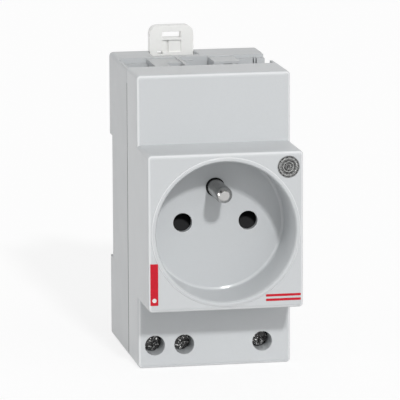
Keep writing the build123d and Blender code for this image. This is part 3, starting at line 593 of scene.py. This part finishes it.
def add_piece(name, form, material):
    """New piece of a finished form, which rides on the housing."""
    bmesh.ops.recalc_face_normals(form, faces=form.faces)
    mesh = bpy.data.meshes.new(name)
    form.to_mesh(mesh)
    form.free()
    mesh.materials.append(material)
    piece = add_object(name, mesh)
    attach(piece, "housing")
    return piece


def join_rows(form, rows, smooth):
    """Faces from each ring of points to the next, where a ring may be a single point."""
    for first, second in zip(rows, rows[1:]):
        count = max(len(first), len(second))
        for i in range(count):
            j = (i + 1) % count
            corners = [first[i % len(first)], first[j % len(first)], second[j % len(second)],
                       second[i % len(second)]]
            face = form.faces.new(list(dict.fromkeys(corners)))
            face.smooth = smooth


def close_ends(form, rows):
    """Faces over the first and the last ring of points."""
    form.faces.new(rows[0])
    form.faces.new(rows[-1])


def turned_piece(name, profile, x, z, material, relief=None, closed=False):
    """Solid of revolution about a line along Y, from (radius, y) points in millimetres."""
    form = bmesh.new()
    rows = []
    for radius, y in profile:
        if radius == 0:
            rows.append([form.verts.new((x, y * MM, z))])
            continue
        row = []
        for i in range(TURN_STEPS):
            angle = 2 * math.pi * i / TURN_STEPS
            raised = relief(radius, angle) if relief else 0.0
            across = radius * MM * math.cos(angle)
            up = radius * MM * math.sin(angle)
            row.append(form.verts.new((x + across, (y - raised) * MM, z + up)))
        rows.append(row)
    if closed:
        rows.append(rows[0])
    join_rows(form, rows, smooth=True)
    piece = add_piece(name, form, material)
    piece.data.set_sharp_from_angle(angle=SHARP_TURN)
    return piece


def facet_height(radius, angle):
    """How far the lens's facets stand up, in millimetres."""
    for inner, outer, count, height in LENS_FACETS:
        if inner < radius < outer:
            crest = math.sin(math.pi * (radius - inner) / (outer - inner))
            return height * crest * (0.5 + 0.5 * math.cos(count * angle))
    return 0.0


def make_lens():
    """Indicator lens with its moulded rings and facets."""
    lens = turned_piece("ringed_lens", LENS_PROFILE, LENS_AXIS[0], LENS_AXIS[2], MATERIALS["clear_lens"],
                        relief=facet_height)
    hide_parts("indicator_lens")


def make_earth_pin():
    """Turned earth pin with its chamfered tip, and a dark ring of painted shade in the gap round its foot.
    """
    pin = turned_piece("turned_pin", PIN_PROFILE, *PIN_AXIS, MATERIALS["nickel_plate"])
    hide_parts("earth_pin")
    # Dark ring of painted shade in the gap round the pin's foot
    turned_piece("pin_gap_shade", GAP_SHADE_PROFILE, *PIN_AXIS, GAP_SHADE, closed=True)


def make_spring(node, wire, turns, joint, travel, fixed_end):
    """Wound wire spring with closed ends, in the CAD spring's place."""
    low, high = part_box(node)
    middle = (low + high) / 2
    length = high.z - low.z
    radius = (high.x - low.x) / 2 - wire
    rise = length - 2 * wire
    form = bmesh.new()
    rows = []
    for i in range(turns * STEPS_PER_TURN + 1):
        turn = i / STEPS_PER_TURN
        climb = (turn - CLOSED_TURNS) / (turns - 2 * CLOSED_TURNS)
        height = low.z + wire + rise * min(1.0, max(0.0, climb))
        outward = Vector((math.cos(2 * math.pi * turn), math.sin(2 * math.pi * turn), 0.0))
        centre = Vector((middle.x, middle.y, height)) + outward * radius
        row = []
        for k in range(WIRE_SIDES):
            angle = 2 * math.pi * k / WIRE_SIDES
            offset = outward * math.cos(angle) + Vector((0.0, 0.0, math.sin(angle)))
            row.append(form.verts.new(centre + offset * wire))
        rows.append(row)
    join_rows(form, rows, smooth=True)
    close_ends(form, rows)
    spring = add_piece("wound_" + node, form, MATERIALS["spring_steel"])
    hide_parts(node)
    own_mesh(spring)


def nose_skin(x, z):
    """Place along Y of the nose's front surface, with its rounded edges."""
    depth = 0.0
    for place, half in ((x, NOSE_HALF_WIDTH), (z, NOSE_HALF_HEIGHT)):
        past = abs(place) - (half - NOSE_EDGE)
        if past > 0:
            depth += NOSE_EDGE - math.sqrt(max(0.0, NOSE_EDGE ** 2 - past ** 2))
    return NOSE_FACE + depth


def cut_in_cells(form, start, end, facing):
    """Cuts a flat form across one axis into cells that can follow a rounded edge."""
    count = int((end - start) / PRINT_CELL)
    for i in range(1, count):
        place = facing * (start + (end - start) * i / count)
        everything = form.verts[:] + form.edges[:] + form.faces[:]
        bmesh.ops.bisect_plane(form, geom=everything, plane_co=place, plane_no=facing, dist=CUT_TOLERANCE)


def ink_patch(name, outline, material):
    """Thin film of ink over a filled outline on the nose's face."""
    form = bmesh.new()
    form.faces.new([form.verts.new((x, 0.0, z)) for x, z in outline])
    for places, facing in zip(zip(*outline), (Vector((1, 0, 0)), Vector((0, 0, 1)))):
        cut_in_cells(form, min(places), max(places), facing)
    for vertex in form.verts:
        vertex.co.y = nose_skin(vertex.co.x, vertex.co.z) - INK_FILM
    bmesh.ops.recalc_face_normals(form, faces=form.faces)
    if form.faces[0].normal.y > 0:
        bmesh.ops.reverse_faces(form, faces=form.faces)
    film = bmesh.ops.extrude_face_region(form, geom=form.faces[:])
    for item in film["geom"]:
        if isinstance(item, bmesh.types.BMVert):
            item.co.y -= INK_FILM
    return add_piece(name, form, material)


def rounded_outline(left, right, bottom, top):
    """Rectangle with small round corners."""
    inner_left = left + PRINT_CORNER
    inner_right = right - PRINT_CORNER
    inner_bottom = bottom + PRINT_CORNER
    inner_top = top - PRINT_CORNER
    centres = ((inner_right, inner_top), (inner_left, inner_top), (inner_left, inner_bottom),
               (inner_right, inner_bottom))
    points = []
    for quarter, (x, z) in enumerate(centres):
        for i in range(CORNER_STEPS + 1):
            angle = math.pi / 2 * (quarter + i / CORNER_STEPS)
            points.append((x + PRINT_CORNER * math.cos(angle), z + PRINT_CORNER * math.sin(angle)))
    return points


def round_outline(x, z, radius):
    """Circle about a point."""
    angles = [2 * math.pi * i / DOT_STEPS for i in range(DOT_STEPS)]
    return [(x + radius * math.cos(angle), z + radius * math.sin(angle)) for angle in angles]


def print_nose():
    """The plain red field with its white dot, and the two red stripes."""
    ink_patch("label_field", rounded_outline(*LABEL_FIELD), RED_INK)
    dot = ink_patch("label_dot", round_outline(*LABEL_DOT_PLACE, LABEL_DOT_RADIUS), WHITE_INK)
    for vertex in dot.data.vertices:
        vertex.co.y -= INK_FILM
    for name, middle in STRIPE_MIDDLES.items():
        bottom = middle - STRIPE_WIDTH / 2
        top = middle + STRIPE_WIDTH / 2
        ink_patch(name, rounded_outline(STRIPE_LEFT, STRIPE_RIGHT, bottom, top), RED_INK)


def cover_side(side, z):
    """Where the cover's side lies along X, just in front of the parting line."""
    start = Vector((side * 2 * NOSE_HALF_WIDTH, SEAM_PLACE - SEAM_WIDE, z))
    inward = Vector((-side, 0.0, 0.0))
    return nodes["front_cover"].ray_cast(start, inward)[1].x


def make_seam_shade(name, side):
    """Dark parting line between cover and base on one side, partly painted shade, opening towards the
    bottom.
    """
    form = bmesh.new()
    rows = []
    for i in range(SEAM_STEPS + 1):
        share = i / SEAM_STEPS
        z = SEAM_BOTTOM + (SEAM_TOP - SEAM_BOTTOM) * share
        x = cover_side(side, z)
        half = (SEAM_WIDE + (SEAM_NARROW - SEAM_WIDE) * share ** SEAM_TAPER) / 2
        proud = side * SEAM_FILM
        section = ((-proud, -half), (proud, -half / 2), (proud, half / 2), (-proud, half))
        rows.append([form.verts.new((x + out, SEAM_PLACE + along, z)) for out, along in section])
    join_rows(form, rows, smooth=False)
    close_ends(form, rows)
    # Strip of painted shade, partly the joint's own dark, a little proud of the surface
    add_piece(name, form, GAP_SHADE)


def seen_directly(tree):
    """1 for what the camera sees, also by reflection or through clear pieces, and 0 for the rest."""
    path = tree.nodes.new("ShaderNodeLightPath")
    value = combine(tree, "MAXIMUM", path.outputs["Is Camera Ray"], path.outputs["Is Glossy Ray"])
    return combine(tree, "MAXIMUM", value, path.outputs["Is Transmission Ray"])


def set_world():
    """White backdrop and a darker room overhead where they are seen or mirrored, and an even soft light."""
    world = bpy.data.worlds.new("studio")
    bpy.context.scene.world = world
    world.use_nodes = True
    tree = world.node_tree
    tree.nodes.clear()
    output = tree.nodes.new("ShaderNodeOutputWorld")
    light = tree.nodes.new("ShaderNodeBackground")
    height = part_along(tree, coordinates(tree, "Generated"), "Z")
    backdrop = ramp(tree, height, BACKDROP_WHITE, CEILING_TONE, *CEILING_FADE)
    change = combine(tree, "SUBTRACT", backdrop, WORLD_LIGHT)
    strength = combine(tree, "MULTIPLY_ADD", change, seen_directly(tree), WORLD_LIGHT)
    tree.links.new(strength, light.inputs["Strength"])
    tree.links.new(light.outputs["Background"], output.inputs["Surface"])


def make_floor():
    """Pale floor that keeps the object's shadow and reads as white."""
    mesh = bpy.data.meshes.new("floor")
    z = cad_low.z - FLOOR_GAP
    corners = [(-FLOOR_HALF, -FLOOR_HALF, z), (FLOOR_HALF, -FLOOR_HALF, z), (FLOOR_HALF, FLOOR_HALF, z),
               (-FLOOR_HALF, FLOOR_HALF, z)]
    mesh.from_pydata(corners, [], [(0, 1, 2, 3)])
    floor = add_object("floor", mesh)
    material, tree, shader = new_material("floor")
    seen = seen_directly(tree)
    tone = mix_colour(tree, seen, (FLOOR_TONE,) * 3, (FLOOR_SEEN_TONE,) * 3)
    tree.links.new(tone, shader.inputs["Base Color"])
    shader.inputs["Roughness"].default_value = FLOOR_ROUGHNESS
    shader.inputs["Specular IOR Level"].default_value = 0.0
    lift = mix_colour(tree, seen, (0.0, 0.0, 0.0), (FLOOR_LIFT,) * 3)
    tree.links.new(lift, shader.inputs["Emission Color"])
    shader.inputs["Emission Strength"].default_value = 1.0
    mesh.materials.append(material)


def direction(azimuth, elevation):
    """Way from the object at an angle round it from the front, and an angle up, in radians."""
    return Vector((
        math.sin(azimuth) * math.cos(elevation),
        -math.cos(azimuth) * math.cos(elevation),
        math.sin(elevation),
    ))


def make_camera():
    """Camera at the photograph's angle."""
    data = bpy.data.cameras.new("camera")
    data.sensor_width = SENSOR_WIDTH
    data.lens = SENSOR_WIDTH * PHOTO_FOCAL_LENGTH / PHOTO_WIDTH
    data.clip_start = NEAREST_SEEN
    data.clip_end = FARTHEST_SEEN
    camera = add_object("camera", data)
    back = direction(CAMERA_AZIMUTH, CAMERA_ELEVATION)
    camera.location = CAMERA_TARGET + back * CAMERA_DISTANCE
    camera.rotation_mode = "QUATERNION"
    turn = back.to_track_quat("Z", "Y").to_matrix() @ Matrix.Rotation(CAMERA_ROLL, 3, "Z")
    camera.rotation_quaternion = turn.to_quaternion()
    bpy.context.scene.camera = camera


def sun_light(name, strength, azimuth, elevation, apparent_size):
    """Distant soft lamp at an angle round the object."""
    data = bpy.data.lights.new(name, "SUN")
    data.energy = strength
    data.angle = math.radians(apparent_size)
    lamp = add_object(name, data)
    back = direction(math.radians(azimuth), math.radians(elevation))
    lamp.rotation_mode = "QUATERNION"
    lamp.rotation_quaternion = back.to_track_quat("Z", "Y")


dress_nodes()
make_lens()
make_earth_pin()
for spring in SPRINGS:
    make_spring(*spring)
print_nose()
make_seam_shade("seam_shade_left", -1)
make_seam_shade("seam_shade_right", 1)
set_world()
make_floor()
make_camera()
for lamp in LAMPS:
    sun_light(*lamp)
bpy.context.scene.view_settings.view_transform = "Standard"
